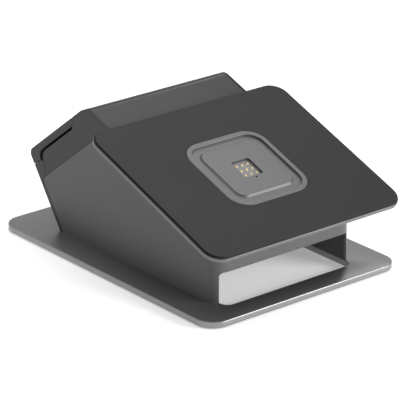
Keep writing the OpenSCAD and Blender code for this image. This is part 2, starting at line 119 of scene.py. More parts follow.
def skinned(name, rings, place=Matrix(), closed=True):
    """A solid skinned over rings of points. Closed rings come back to the first one,
    as round a plate with a hole, and open ones are capped at both ends."""
    bm = bmesh.new()
    loops = [[bm.verts.new(point) for point in points] for points in rings]
    count = len(rings[0])
    ends = loops[1:] + loops[:1] if closed else loops[1:]
    for low, high in zip(loops, ends):
        for i in range(count):
            j = (i + 1) % count
            bm.faces.new((low[i], low[j], high[j], high[i]))
    if not closed:
        bm.faces.new(loops[0])
        bm.faces.new(loops[-1])
    return add_piece(name, bm, place)


def settled(piece):
    """Applies the piece's modifiers, so that it is a plain mesh again."""
    shaped = piece.evaluated_get(bpy.context.evaluated_depsgraph_get())
    mesh = bpy.data.meshes.new_from_object(shaped)
    piece.modifiers.clear()
    piece.data = mesh
    return piece


def carved(piece, tools, operation="DIFFERENCE"):
    """Cuts the tools from the piece, or joins them to it, and removes them."""
    for tool in tools:
        step = piece.modifiers.new("carve", "BOOLEAN")
        step.operation = operation
        step.solver = "EXACT"
        step.object = tool
    settled(piece)
    for tool in tools:
        bpy.data.objects.remove(tool)
    return piece


def rod(radius, low, high, x, y, place=Matrix(), sides=36):
    """A plain round bar, for cutting or joining."""
    rings = []
    for level in (low, high):
        turns = [radians(360) * i / sides for i in range(sides)]
        rings.append([(x + radius * cos(t), y + radius * sin(t), level) for t in turns])
    return skinned("rod", rings, place, closed=False)


def softened(piece, width):
    """Rounds the sharp edges by that width, with even shading on the flats."""
    bevel = piece.modifiers.new("soften", "BEVEL")
    bevel.width = width
    bevel.segments = 2
    bevel.limit_method = "ANGLE"
    bevel.angle_limit = SHARP_ANGLE
    even = piece.modifiers.new("even", "WEIGHTED_NORMAL")
    even.keep_sharp = True
    return settled(piece)


class Wire:
    """One socket of a node tree. Sums and products of wires add Math nodes."""

    def __init__(self, tree, socket=None):
        self.tree = tree
        self.socket = socket

    def node(self, kind, settings=None, values=None, out=0):
        """Adds a node: its settings first, then the values or links of its sockets."""
        made = self.tree.nodes.new(kind)
        for key, value in (settings or {}).items():
            setattr(made, key, value)
        for key, value in (values or {}).items():
            for one in value if isinstance(value, list) else [value]:
                if isinstance(one, Wire):
                    self.tree.links.new(one.socket, made.inputs[key])
                else:
                    made.inputs[key].default_value = one
        return Wire(self.tree, made.outputs[out])

    def math(self, operation, first, second=0.0):
        return self.node("ShaderNodeMath", {"operation": operation}, {0: first, 1: second})

    def __add__(self, other):
        return self.math("ADD", self, other)

    def __sub__(self, other):
        return self.math("SUBTRACT", self, other)

    def __rsub__(self, other):
        return self.math("SUBTRACT", other, self)

    def __mul__(self, other):
        return self.math("MULTIPLY", self, other)

    def __gt__(self, other):
        return self.math("GREATER_THAN", self, other)

    __radd__ = __add__
    __rmul__ = __mul__


def new_finish(name):
    """An empty material, a wire into its tree, and the place on the piece."""
    material = bpy.data.materials.new(name)
    material.use_nodes = True
    material.node_tree.nodes.clear()
    wire = Wire(material.node_tree)
    return material, wire, wire.node("ShaderNodeTexCoord", out="Object")


def noise(spot, size, detail=2.0):
    """Soft random values from 0 to 1, with features of about that size in metres."""
    values = {"Vector": spot, "Scale": 1 / size, "Detail": detail}
    return spot.node("ShaderNodeTexNoise", values=values)


def blend(mask, low, high):
    """A colour between two others, by the mask."""
    return mask.node("ShaderNodeMix", {"data_type": "RGBA"}, {0: mask, 6: low, 7: high}, out=2)


def painted_edge_highlight(wire):
    """A mask that rises from flat faces to outer edges, where a painted highlight lightens the colour."""
    bend = wire.node("ShaderNodeNewGeometry", out="Pointiness")
    values = {"Value": bend, "From Min": 0.52, "From Max": 0.62}
    return wire.node("ShaderNodeMapRange", values=values)


def grey(value, warmth=0.0):
    """A neutral colour, or a slightly warm one."""
    return (value * (1 + warmth), value, value * (1 - warmth), 1)


def close_finish(wire, colour, roughness, height, depth, **fixed):
    """Ends the finish in one shader. The grain's height stands depth metres proud."""
    bump = wire.node("ShaderNodeBump", values={"Distance": depth, "Height": height}, out="Normal")
    values = {"Base Color": colour, "Roughness": roughness, "Normal": bump}
    values.update({key.replace("_", " "): value for key, value in fixed.items()})
    shader = wire.node("ShaderNodeBsdfPrincipled", values=values)
    output = wire.tree.nodes.new("ShaderNodeOutputMaterial")
    wire.tree.links.new(shader.socket, output.inputs["Surface"])


def blasted_metal(name, tone, roughness, metallic):
    """Metal with a fine blasted or coated grain, slightly cloudy, with a painted highlight on its edges."""
    material, wire, spot = new_finish(name)
    grain = noise(spot, 0.7 * MM, 3)
    cloud = noise(spot, 60 * MM, 3)
    body = blend(cloud, grey(tone * 0.94), grey(tone * 1.06))
    # Painted highlight: outer edges lighten towards half again the tone.
    highlit_colour = blend(painted_edge_highlight(wire) * 0.35, body, grey(tone * 1.5))
    rough = roughness + 0.08 * (cloud - 0.5) + 0.10 * (grain - 0.5)
    close_finish(wire, highlit_colour, rough, grain, 0.012 * MM, Metallic=metallic)
    return material


def dress(piece, material, slot, body="stand", *nodes):
    """Gives a piece its finish, ties it to its body, and hides the nodes it stands for."""
    piece.data.materials.clear()
    piece.data.materials.append(material)
    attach(piece, body)
    if nodes:
        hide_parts(*nodes)
    return piece


PLATE_CORNER = 20.5 * MM
PLATE_ROLL = 0.9 * MM
CUT_OUT = (166.6 * MM, 174.5 * MM, 9.5 * MM)
plate_low, plate_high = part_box("base_plate")
plate_size = plate_high - plate_low
plate_mid = (plate_low + plate_high) / 2
PLATE = Matrix.Translation((0, plate_mid.y, plate_low.z))
cut_mid = (0, -59.25 * MM)
plate_rings = (
    rolled_edge(plate_size.x, plate_size.y, PLATE_CORNER, plate_size.z, PLATE_ROLL)
    + rolled_edge(*CUT_OUT, plate_size.z, 0.5 * MM, cut_mid, hole=True)[::-1]
    + rolled_edge(*CUT_OUT, 0, -0.5 * MM, cut_mid, hole=True)
    + rolled_edge(plate_size.x, plate_size.y, PLATE_CORNER, 0, -PLATE_ROLL)[::-1]
)
base_plate = skinned("steel_base_plate", plate_rings, PLATE)
LINER_SCREWS = [(x * MM, y * MM) for x in (-86.15, 86.15) for y in (-105, -10)]
POST_SCREWS = [(x * MM, y * MM) for x, y in ((-80, 45), (80, 45), (-76, 66), (76, 66))]
bores = [rod(2.5 * MM, -MM, 2.2 * MM, x, y, PLATE) for x, y in LINER_SCREWS]
bores += [rod(4 * MM, -MM, 3.2 * MM, x, y, PLATE) for x, y in POST_SCREWS]
carved(base_plate, bores)
plate_coat = blasted_metal("satin_powder_coat", 0.27, 0.34, 0.8)
dress(base_plate, plate_coat, "base_steel", "stand", "base_plate")

# ---- Rubber feet ----
# Six round feet, stamped from rubber sheet and pressed into pockets under the
# plate, which they hold one millimetre off the counter.

WELD = 0.001 * MM
DISC_SIDES = 32

def named_inputs(tree, sizes):
    """Adds the tree's sockets: the geometry, one number for each size, and the material."""
    make = tree.interface.new_socket
    make("Spots", in_out="INPUT", socket_type="NodeSocketGeometry")
    for name in sizes:
        make(name, in_out="INPUT", socket_type="NodeSocketFloat")
    make("Finish", in_out="INPUT", socket_type="NodeSocketMaterial")
    make("Geometry", in_out="OUTPUT", socket_type="NodeSocketGeometry")
    return tree.nodes.new("NodeGroupInput").outputs


def lifted(wire, part, level):
    """A part of a geometry tree, moved up by the level."""
    lift = wire.node("ShaderNodeCombineXYZ", values={"Z": level})
    return wire.node("GeometryNodeTransform", values={"Geometry": part, "Translation": lift})


def disc(wire, radius, low, height, sides):
    """A round solid in a geometry tree, from low up by height."""
    sizes = {"Vertices": sides, "Radius": radius, "Depth": height}
    return lifted(wire, wire.node("GeometryNodeMeshCylinder", values=sizes), low + height * 0.5)


def chamfered_disc(wire, face_radius, radius, edge, height):
    """A disc whose lower edge leans out from face_radius to radius over the edge's height."""
    unfilled = {"fill_type": "NONE"}
    filled = {"fill_type": "NGON"}
    sizes = {"Vertices": DISC_SIDES, "Radius Bottom": face_radius, "Radius Top": radius}
    lean = wire.node("GeometryNodeMeshCone", unfilled, {**sizes, "Depth": edge})
    sizes = {"Vertices": DISC_SIDES, "Radius": radius}
    side = wire.node("GeometryNodeMeshCylinder", unfilled, {**sizes, "Depth": height - edge})
    side = lifted(wire, side, (height + edge) * 0.5)
    top = lifted(wire, wire.node("GeometryNodeMeshCircle", filled, sizes), height)
    sizes = {"Vertices": DISC_SIDES, "Radius": face_radius}
    face = wire.node("GeometryNodeMeshCircle", filled, sizes)
    face = wire.node("GeometryNodeFlipFaces", values={"Mesh": face})
    walls = wire.node("GeometryNodeJoinGeometry", values={"Geometry": [lean, side, face, top]})
    return wire.node("GeometryNodeMergeByDistance", values={"Geometry": walls, "Distance": WELD})


def joined(wire, parts):
    """The parts of a geometry tree as one solid."""
    return wire.node("GeometryNodeMeshBoolean", {"operation": "UNION"}, {"Mesh 2": parts})


def repeat_at_spots(wire, spots, part, material):
    """Ends a tree: the part at every spot, as real faces with their material."""
    placed = wire.node("GeometryNodeInstanceOnPoints", values={"Points": spots, "Instance": part})
    real = wire.node("GeometryNodeRealizeInstances", values={"Geometry": placed})
    dressed = wire.node("GeometryNodeSetMaterial", values={"Geometry": real, "Material": material})
    output = wire.tree.nodes.new("NodeGroupOutput")
    wire.tree.links.new(dressed.socket, output.inputs[0])


def grown(name, tree, spots, sizes, material, place):
    """A piece made by a geometry tree from its spots, then turned into a plain mesh."""
    bm = bmesh.new()
    for spot in spots:
        bm.verts.new((*spot, 0) if len(spot) == 2 else spot)
    piece = add_piece(name, bm)
    maker = piece.modifiers.new("maker", "NODES")
    maker.node_group = tree
    wanted = {**sizes, "Finish": material}
    for item in tree.interface.items_tree:
        if item.in_out == "INPUT" and item.name in wanted:
            maker[item.identifier] = wanted[item.name]
    settled(piece)
    bm = bmesh.new()
    bm.from_mesh(piece.data)
    bmesh.ops.remove_doubles(bm, verts=bm.verts, dist=WELD)
    stray = [edge for edge in bm.edges if not edge.link_faces]
    bmesh.ops.delete(bm, geom=stray, context="EDGES")
    bmesh.ops.recalc_face_normals(bm, faces=bm.faces)
    bm.transform(place)
    for face in bm.faces:
        face.smooth = True
    bm.to_mesh(piece.data)
    bm.free()
    return piece


foot_tree = bpy.data.node_groups.new("foot_set", "GeometryNodeTree")
given = named_inputs(foot_tree, ["Face Radius", "Radius", "Edge", "Height"])
wire = Wire(foot_tree)
face_radius, radius, edge, height = (Wire(foot_tree, given[i]) for i in range(1, 5))
foot = chamfered_disc(wire, face_radius, radius, edge, height)
repeat_at_spots(wire, Wire(foot_tree, given[0]), foot, Wire(foot_tree, given[5]))


def rubber(name, tone):
    """Matt rubber with a fine moulded pit and a dusty bloom."""
    material, wire, spot = new_finish(name)
    pits = noise(spot, 0.5 * MM)
    bloom = noise(spot, 9 * MM)
    colour = blend(bloom, grey(tone * 0.8), grey(tone * 1.4))
    close_finish(wire, colour, 0.72 + 0.15 * bloom, pits, 0.03 * MM)
    return material


FOOT_SPOTS = [(x * MM, y * MM) for x in (-108, 108) for y in (-155, 0, 155)]
foot_rubber = rubber("foot_rubber", 0.018)
foot_sizes = {"Face Radius": 8.2 * MM, "Radius": 9 * MM, "Edge": 0.8 * MM, "Height": 2.5 * MM}
foot_place = Matrix.Translation((0, plate_mid.y, 0))
feet = grown("pressed_in_feet", foot_tree, FOOT_SPOTS, foot_sizes, foot_rubber, foot_place)
dress(softened(feet, 0.2 * MM), foot_rubber, "foot_rubber", "stand", "rubber_feet")

# ---- Base screws ----
# Countersunk zinc-plated machine screws come up through the plate. Four hold the
# bay liner and four, longer ones, hold the body and the hub.

screw_tree = bpy.data.node_groups.new("screw_set", "GeometryNodeTree")
SCREW_SIZES = ["Face Radius", "Head Radius", "Edge", "Head", "Shank Radius", "Length",
               "Drive Radius", "Drive Depth"]
given = named_inputs(screw_tree, SCREW_SIZES)
wire = Wire(screw_tree)
inputs = [Wire(screw_tree, given[i]) for i in range(10)]
spots, face_radius, head_radius, edge, head = inputs[:5]
shank_radius, length, drive_radius, drive_depth, metal = inputs[5:]
solid_head = chamfered_disc(wire, face_radius, head_radius, edge, head)
shank = disc(wire, shank_radius, head * 0.5, length - head * 0.5, 24)
drive = disc(wire, drive_radius, drive_depth * -1, drive_depth * 2, 6)
whole = joined(wire, [solid_head, shank])
cut = {"Mesh 1": whole, "Mesh 2": drive}
screw = wire.node("GeometryNodeMeshBoolean", {"operation": "DIFFERENCE"}, cut)
repeat_at_spots(wire, spots, screw, metal)


def turned_metal(name, tone, roughness, warmth=0.0):
    """Plated or turned metal: fine rings of tool marks and a few duller patches."""
    material, wire, spot = new_finish(name)
    marks = noise(spot, 0.25 * MM, 1)
    patches = noise(spot, 5 * MM, 3)
    colour = blend(patches, grey(tone * 0.85, warmth), grey(tone * 1.1, warmth))
    rough = roughness + 0.16 * (patches - 0.5)
    close_finish(wire, colour, rough, marks, 0.01 * MM, Metallic=1.0)
    return material


def screw_sizes(shank, head_radius, head, length):
    """A screw's named sizes, in metres, from its main ones in millimetres."""
    sizes = [head_radius - 0.3, head_radius, 0.3, head, shank, length, shank * 0.75, head * 0.6]
    return {name: size * MM for name, size in zip(SCREW_SIZES, sizes)}


def screwed(name, spots, sizes, place, node):
    """A set of zinc-plated screws at those spots, for that node."""
    screws = grown(name, screw_tree, spots, screw_sizes(*sizes), zinc, place)
    return dress(screws, zinc, "screw_steel", "stand", node)


zinc = turned_metal("zinc_plate", 0.55, 0.3)
head_up = PLATE @ Matrix.Translation((0, 0, 0.2 * MM))
screwed("liner_machine_screws", LINER_SCREWS, (1.25, 2.4, 2, 16), head_up, "base_screws")
screwed("body_machine_screws", POST_SCREWS, (2, 3.9, 3, 18), head_up, "base_screws")

# ---- Wedge shell ----
# The grey body is one moulding: two side walls and a front with rounded corners,
# a ledge under the tray, and the mouth of the cable bay cut in its front.

MERGE_GAP = 0.002 * MM
FLAT_ANGLE = radians(1)


def refined(name, node, width):
    """A merged copy of a CAD node with its flats joined and its edges rounded."""
    bm = bmesh.new()
    bm.from_mesh(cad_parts[node].data)
    bmesh.ops.remove_doubles(bm, verts=bm.verts, dist=MERGE_GAP)
    bmesh.ops.dissolve_limit(bm, angle_limit=FLAT_ANGLE, verts=bm.verts, edges=bm.edges)
    for face in bm.faces:
        face.smooth = True
    mesh = bpy.data.meshes.new(name)
    bm.to_mesh(mesh)
    bm.free()
    piece = bpy.data.objects.new(name, mesh)
    bpy.context.scene.collection.objects.link(piece)
    return softened(piece, width) if width else piece


def moulded_plastic(name, tone, roughness, grain_size=0.6 * MM):
    """Moulded plastic with a fine spark-eroded texture, faint flow clouds and a painted highlight on its
    edges.
    """
    material, wire, spot = new_finish(name)
    grain = noise(spot, grain_size, 2)
    cells = wire.node("ShaderNodeTexVoronoi", values={"Vector": spot, "Scale": 1 / grain_size})
    cloud = noise(spot, 45 * MM, 3)
    body = blend(cloud, grey(tone * 0.95), grey(tone * 1.05))
    # Painted highlight: outer edges lighten towards 1.6 times the tone.
    highlit_colour = blend(painted_edge_highlight(wire) * 0.25, body, grey(tone * 1.6))
    rough = roughness + 0.08 * (cloud - 0.5) + 0.08 * (grain - 0.5)
    close_finish(wire, highlit_colour, rough, grain + 0.5 * cells, 0.015 * MM, Specular_IOR_Level=0.2)
    return material


shell_plastic = moulded_plastic("shell_grey", 0.098, 0.42)
shell = refined("moulded_wedge_shell", "wedge_shell", 0.5 * MM)
dress(shell, shell_plastic, "shell_grey", "stand", "wedge_shell")

# ---- Bay liner ----
# A black moulded tunnel lines the bay, so that what is stowed there slides in
# without catching. It is screwed down from under the plate.

liner_plastic = moulded_plastic("liner_black", 0.06, 0.5)
liner = refined("moulded_bay_liner", "bay_liner", 0.4 * MM)
dress(liner, liner_plastic, "liner_black", "stand", "bay_liner")

# ---- Sloped tray ----
# A bead-blasted, grey anodised aluminium plate carries the device. A frame under
# it sits on the body's ledge, and a wide hole takes the dock.

TRAY_TILT = radians(19.84)
TRAY_THICK = 4 * MM
TRAY_LENGTH = 212.3 * MM
TRAY_CORNER = 19 * MM
tray_low, tray_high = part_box("dock_tray")
tray_width = tray_high.x - tray_low.x
front_edge = Vector((0, tray_low.y, tray_low.z + TRAY_THICK * cos(TRAY_TILT)))
SLOPE = Matrix.Translation(front_edge) @ Matrix.Rotation(TRAY_TILT, 4, "X")
DOCK = SLOPE @ Matrix.Translation((0, TRAY_LENGTH / 2, 0))


def bar(width, length, low, high, x, y, place):
    """A plain bar with its lower left front corner at x, y."""
    corners = [(x, y), (x + width, y), (x + width, y + length), (x, y + length)]
    rings = [[(*corner, level) for corner in corners] for level in (low, high)]
    return skinned("bar", rings, place, closed=False)


TRAY_HOLE = (93 * MM, 95.4 * MM, 15 * MM)
TRAY_ROLL = 0.7 * MM
tray_rings = (
    rolled_edge(tray_width, TRAY_LENGTH, TRAY_CORNER, 0, TRAY_ROLL)
    + [ring(*TRAY_HOLE, 0), ring(*TRAY_HOLE, -TRAY_THICK)]
    + rolled_edge(tray_width, TRAY_LENGTH, TRAY_CORNER, -TRAY_THICK, -TRAY_ROLL)[::-1]
)
tray = skinned("blasted_tray", tray_rings, DOCK)
frame_low, frame_high = -6.6 * MM, -TRAY_THICK + 0.5 * MM
FRAME_BAR = 8 * MM
SIDE_LENGTH, CROSS_LENGTH = 154 * MM, 158 * MM
frame_front = 46 * MM
frame_rear = frame_front + SIDE_LENGTH - FRAME_BAR
bars = [
    bar(FRAME_BAR, SIDE_LENGTH, frame_low, frame_high, x * MM, frame_front, SLOPE)
    for x in (-86, 78)
]
bars += [
    bar(CROSS_LENGTH, FRAME_BAR, frame_low, frame_high, -CROSS_LENGTH / 2, y, SLOPE)
    for y in (frame_front, frame_rear)
]
carved(tray, bars, "UNION")
tray_metal = blasted_metal("blasted_tray_metal", 0.14, 0.45, 0.5)
dress(tray, tray_metal, "tray_alloy", "stand", "dock_tray")

# ---- Tray screws ----
# Six zinc-plated screws hold the tray from below, through the ledge of the body.

TRAY_SCREWS = [(x * MM, y * MM) for x in (-82, 82) for y in (62, 118, 172)]
tray_head = SLOPE @ Matrix.Translation((0, 0, -11.6 * MM))
screwed("tray_fixing_screws", TRAY_SCREWS, (1.5, 2.8, 2, 9.6), tray_head, "tray_screws")

# ---- Tray skin ----
# A soft-touch black skin is bonded to the tray, half a millimetre inside its edge.
# Its outer edge leans in and its side faces get a near-black finish as painted shade, and a hole clears the
# dock.

SKIN_THICK = 2.5 * MM
SKIN_LEAN = 1.4 * MM
SKIN_HOLE = (100 * MM, 102.5 * MM, 22.2 * MM)
skin_w, skin_l, skin_r = tray_width - MM, TRAY_LENGTH - MM, TRAY_CORNER - 0.5 * MM
top_w, top_l, top_r = skin_w - 2 * SKIN_LEAN, skin_l - 2 * SKIN_LEAN, skin_r - SKIN_LEAN
skin_rings = (
    [ring(skin_w, skin_l, skin_r, 0), ring(skin_w, skin_l, skin_r, SKIN_THICK - SKIN_LEAN)]
    + rolled_edge(top_w + 0.3 * MM, top_l + 0.3 * MM, top_r + 0.15 * MM, SKIN_THICK, 0.15 * MM)
    + rolled_edge(*SKIN_HOLE, SKIN_THICK, 0.2 * MM, hole=True)[::-1]
    + [ring(*SKIN_HOLE, 0)]
)
skin = softened(skinned("soft_tray_skin", skin_rings, DOCK), 0.2 * MM)
skin_touch = moulded_plastic("soft_touch_skin", 0.016, 0.5, 0.35 * MM)
dress(skin, skin_touch, "skin_dark", "stand", "top_skin")
# Painted shade: the skin's leaning edge and side faces, which turn away from the slope, get a near-black
# finish.
skin.data.materials.append(moulded_plastic("painted_shade_skin_edge", 0.004, 0.6, 0.5 * MM))
SLOPE_UP = DOCK.to_3x3() @ Vector((0, 0, 1))
FLAT_ENOUGH = 0.97
for face in skin.data.polygons:
    if abs(face.normal.dot(SLOPE_UP)) < FLAT_ENOUGH:
        face.material_index = 1

# ---- Dock ring ----
# The ring round the dock is a milled, blasted aluminium frame with a groove inside
# it, in which the rim of the device's socket runs. Its web is clamped to the tray.

RING_OUTER = (99.6 * MM, 102.1 * MM, 22 * MM)
RING_INNER = (89.4 * MM, 91 * MM, 17 * MM)
RING_WEB = (92.6 * MM, 95 * MM, 14.8 * MM)
WEB_HOLE = (66 * MM, 66 * MM, 8 * MM)
WEB_THICK = 1.6 * MM
ring_rings = (
    [ring(*RING_OUTER, 0)]
    + rolled_edge(*RING_OUTER, SKIN_THICK, 0.35 * MM)
    + rolled_edge(*RING_INNER, SKIN_THICK, 0.6 * MM, hole=True)[::-1]
    + [ring(*RING_INNER, 0), ring(*WEB_HOLE, 0), ring(*WEB_HOLE, -WEB_THICK)]
    + [ring(*RING_WEB, -WEB_THICK), ring(*RING_WEB, 0)]
)
dock_ring = softened(skinned("milled_dock_ring", ring_rings, DOCK), 0.15 * MM)
dock_metal = blasted_metal("blasted_dock_metal", 0.115, 0.4, 0.5)
dress(dock_ring, dock_metal, "dock_alloy", "stand", "dock_ring")

# ---- Dock boss ----
# The raised square in the middle is milled from the same metal. It has leaning
# sides, a window for the contacts, magnet pockets and a lamp hole with painted shade on its wall.

BOSS_FOOT = 75.4 * MM
BOSS_HIGH = 2.1 * MM
BOSS_LEAN = 2.4 * MM
BOSS_ROLL = 0.9 * MM
WINDOW = (23 * MM, 26 * MM, 2.5 * MM)
STEM = (65.6 * MM, 65.6 * MM, 7.8 * MM)
boss_top = BOSS_FOOT - 2 * BOSS_LEAN + 2 * BOSS_ROLL
boss_rings = (
    [ring(*STEM, -TRAY_THICK), ring(*STEM, 0), ring(BOSS_FOOT, BOSS_FOOT, 12 * MM, 0)]
    + rolled_edge(boss_top, boss_top, 12 * MM - BOSS_LEAN + BOSS_ROLL, BOSS_HIGH, BOSS_ROLL)
    + rolled_edge(*WINDOW, BOSS_HIGH, 0.35 * MM, hole=True)[::-1]
    + [ring(*WINDOW, -TRAY_THICK)]
)
boss = skinned("milled_dock_boss", boss_rings, DOCK)
MAGNET_SPOTS = [(x * MM, y * MM) for x in (-23.5, 23.5) for y in (-23.5, 23.5)]
LAMP = (0, -15.3 * MM)
LAMP_RADIUS = 1.2 * MM
pockets = [rod(6.55 * MM, -TRAY_THICK - MM, -0.8 * MM, x, y, DOCK) for x, y in MAGNET_SPOTS]
pockets.append(rod(LAMP_RADIUS, -TRAY_THICK - MM, BOSS_HIGH + MM, *LAMP, DOCK))
softened(carved(boss, pockets), 0.15 * MM)
boss_metal = blasted_metal("blasted_boss_metal", 0.115, 0.4, 0.5)
dress(boss, boss_metal, "boss_alloy", "stand", "dock_boss")
# Painted shade: the upright wall of the lamp hole gets a near-black finish.
boss.data.materials.append(moulded_plastic("painted_shade_bore", 0.004, 0.6, 0.5 * MM))
from_lamp = Matrix.Translation((-LAMP[0], -LAMP[1], 0)) @ DOCK.inverted()
for face in boss.data.polygons:
    upright = abs(face.normal.dot(SLOPE_UP)) < 0.5
    if upright and (from_lamp @ face.center).xy.length < LAMP_RADIUS + 0.05 * MM:
        face.material_index = 1

# ---- Keeper, magnets and dock screws ----
# A steel keeper clamps the dock from below with four screws. Four nickel-plated
# magnets sit in the boss and close their field through the keeper.

keeper_steel = turned_metal("keeper_steel", 0.5, 0.34)
keeper = refined("pressed_keeper", "dock_keeper", 0.25 * MM)
dress(keeper, keeper_steel, "keeper_steel", "stand", "dock_keeper")
nickel = turned_metal("nickel_plate", 0.7, 0.16, 0.02)
magnets = refined("dock_magnet_discs", "dock_magnets", 0.4 * MM)
dress(magnets, nickel, "magnet_nickel", "stand", "dock_magnets")
DOCK_SCREWS = [(27 * MM, 0), (0, 27 * MM), (-27 * MM, 0), (0, -27 * MM)]
dock_head = DOCK @ Matrix.Translation((0, 0, -7.4 * MM))
screwed("dock_fixing_screws", DOCK_SCREWS, (1.5, 2.8, 1.8, 7), dock_head, "dock_screws")

# ---- Light pipe ----
# A smoked acrylic rod brings a lamp on the contact board up to the boss. It shows
# as a small dark dot in front of the contact window.

PIPE_RADIUS = LAMP_RADIUS - 0.05 * MM
PIPE_TOP = 1.6 * MM


def lathed(name, profile, place, sides):
    """A turned solid from its profile, as (radius, height) points from foot to top."""
    rings = []
    for radius, height in profile:
        turns = [radians(360) * i / sides for i in range(sides)]
        rings.append([(radius * cos(t), radius * sin(t), height) for t in turns])
    return skinned(name, rings, place, closed=False)


def smoked_acrylic(name):
    """Dark clear acrylic, polished, with faint flow lines."""
    material, wire, spot = new_finish(name)
    flow = noise(spot, 2 * MM)
    colour = blend(flow, grey(0.003), grey(0.008))
    close_finish(wire, colour, 0.3 + 0.1 * flow, flow, 0.002 * MM, Specular_IOR_Level=0.1)
    return material


pipe_foot = [(PIPE_RADIUS, -6.4 * MM)]
lamp_place = DOCK @ Matrix.Translation((*LAMP, 0))
DOME_TURNS = (0, 0.4, 0.8, 1.2, 1.45)
flat_dome = [(PIPE_RADIUS * cos(t), PIPE_TOP - 0.3 * MM * (1 - sin(t))) for t in DOME_TURNS]
pipe = lathed("smoked_light_pipe", pipe_foot + flat_dome, lamp_place, 20)
acrylic = smoked_acrylic("smoked_acrylic")
dress(pipe, acrylic, "pipe_dark", "stand", "light_pipe")

# ---- Contact block and barrels ----
# A moulded block fills the window below its rim. Nine turned brass barrels are
# pressed through it in a three by three field, and each holds a pin and a spring.

block_plastic = moulded_plastic("block_grey", 0.18, 0.5, 0.3 * MM)
block = refined("moulded_contact_block", "contact_block", 0.12 * MM)
dress(block, block_plastic, "block_grey", "stand", "contact_block")
brass = turned_metal("barrel_brass", 0.42, 0.28, 0.35)
barrels = refined("turned_contact_barrels", "contact_barrels", 0)
dress(barrels, brass, "barrel_brass", "stand", "contact_barrels")

# ---- Contact pins ----
# Nine gold-plated plungers stand up out of the barrels. Each has a domed tip and a
# flange that the barrel's rolled lip holds back, and is pressed in by one millimetre.

PIN_RADIUS = 1.2 * MM
PIN_TOP = 0.4 * MM
FLANGE_LOW, FLANGE_HIGH = -2.7 * MM, -1.92 * MM
PIN_SPOTS = [(x * 7.2 * MM, y * 7.5 * MM) for y in (1, 0, -1) for x in (-1, 0, 1)]
DOME_STEPS = 6


def dome(radius, top):
    """Profile points of a round dome, nearly to its pole."""
    turns = [radians(86) * i / DOME_STEPS for i in range(DOME_STEPS + 1)]
    return [(radius * cos(t), top - radius * (1 - sin(t))) for t in turns]


def gold_plate(name):
    """Hard gold plate: warm, bright, with fine turning marks and a dulled, rubbed tip."""
    material, wire, spot = new_finish(name)
    marks = noise(spot, 0.2 * MM, 1)
    rubbed = noise(spot, 0.8 * MM, 2)
    colour = blend(rubbed, (0.60, 0.47, 0.22, 1), (0.88, 0.76, 0.45, 1))
    close_finish(wire, colour, 0.3 + 0.12 * rubbed, marks, 0.006 * MM, Metallic=0.6)
    return material


gold = gold_plate("hard_gold_plate")
pin_profile = [
    (1.35 * MM, FLANGE_LOW), (1.45 * MM, FLANGE_LOW + 0.1 * MM), (1.45 * MM, FLANGE_HIGH - 0.05 * MM),
    (1.4 * MM, FLANGE_HIGH), (PIN_RADIUS, FLANGE_HIGH),
] + dome(PIN_RADIUS, PIN_TOP)
for number, spot in enumerate(PIN_SPOTS, 1):
    pin_place = DOCK @ Matrix.Translation((*spot, 0))
    pin = lathed(f"plated_pin_{number}", pin_profile, pin_place, 24)
    dress(pin, gold, "contact_gold", f"contact_pin_{number}_body", f"contact_pin_{number}")

# ---- Contact springs ----
# A coil of music wire in each barrel pushes its pin up. It stands on the barrel's
# floor and shortens by a millimetre when the pin is pressed in.

spring_tree = bpy.data.node_groups.new("coil_spring", "GeometryNodeTree")
given = named_inputs(spring_tree, ["Coil Radius", "Wire Radius", "Height", "Turns"])
wire = Wire(spring_tree)
spots, coil_radius, wire_radius, height, turns = (Wire(spring_tree, given[i]) for i in range(5))
coil_sizes = {"Resolution": 16, "Rotations": turns, "Height": height}
coil_sizes.update({"Start Radius": coil_radius, "End Radius": coil_radius})
coil = wire.node("GeometryNodeCurveSpiral", values=coil_sizes)
section = wire.node("GeometryNodeCurvePrimitiveCircle", values={"Resolution": 6, "Radius": wire_radius})
swept = {"Curve": coil, "Profile Curve": section, "Fill Caps": True}
repeat_at_spots(wire, spots, wire.node("GeometryNodeCurveToMesh", values=swept), Wire(spring_tree, given[5]))

SPRING_FOOT = -5.9 * MM
WIRE_RADIUS = 0.17 * MM
spring_height = FLANGE_LOW - SPRING_FOOT - 2 * WIRE_RADIUS
spring_sizes = {"Coil Radius": 1.2 * MM, "Wire Radius": WIRE_RADIUS, "Height": spring_height, "Turns": 5.0}
music_wire = turned_metal("music_wire", 0.5, 0.25)
for number, spot in enumerate(PIN_SPOTS, 1):
    foot_place = DOCK @ Matrix.Translation((*spot, SPRING_FOOT + WIRE_RADIUS))
    spring = grown(f"coiled_spring_{number}", spring_tree, [(0, 0)], spring_sizes, music_wire, foot_place)
    dress(spring, music_wire, "screw_steel", "stand", "contact_springs")
    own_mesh(spring)

# ---- Contact board and ribbon ----
# The barrels' tails are soldered to a small circuit board under the block. A flat
# ribbon cable takes its lines back into the hub.


def circuit_board(name):
    """Green solder resist over copper lines, with tinned pads along a grid."""
    material, wire, spot = new_finish(name)
    lines = {"Vector": spot, "Scale": 260.0, "Distortion": 3.0, "Detail": 1.0, "Detail Scale": 0.6}
    copper = wire.node("ShaderNodeTexWave", {"bands_direction": "X"}, lines, out="Fac") > 0.62
    cells = wire.node("ShaderNodeTexVoronoi", values={"Vector": spot, "Scale": 320.0, "Randomness": 0.35})
    pads = wire.math("LESS_THAN", cells, 0.16)
    resist = blend(copper, (0.008, 0.075, 0.032, 1), (0.014, 0.13, 0.05, 1))
    colour = blend(pads, resist, grey(0.55))
    close_finish(wire, colour, 0.32 - 0.08 * pads, copper + pads, 0.02 * MM, Metallic=pads)
    return material


def ribbon_plastic(name):
    """Pale ribbon insulation with a fine ridge for each conductor."""
    material, wire, spot = new_finish(name)
    ridges = {"Vector": spot, "Scale": 250.0}
    ridge = wire.node("ShaderNodeTexWave", {"bands_direction": "X"}, ridges, out="Fac")
    colour = blend(ridge, grey(0.38, 0.03), grey(0.6, 0.03))
    close_finish(wire, colour, 0.4 + 0.1 * ridge, ridge, 0.15 * MM)
    return material


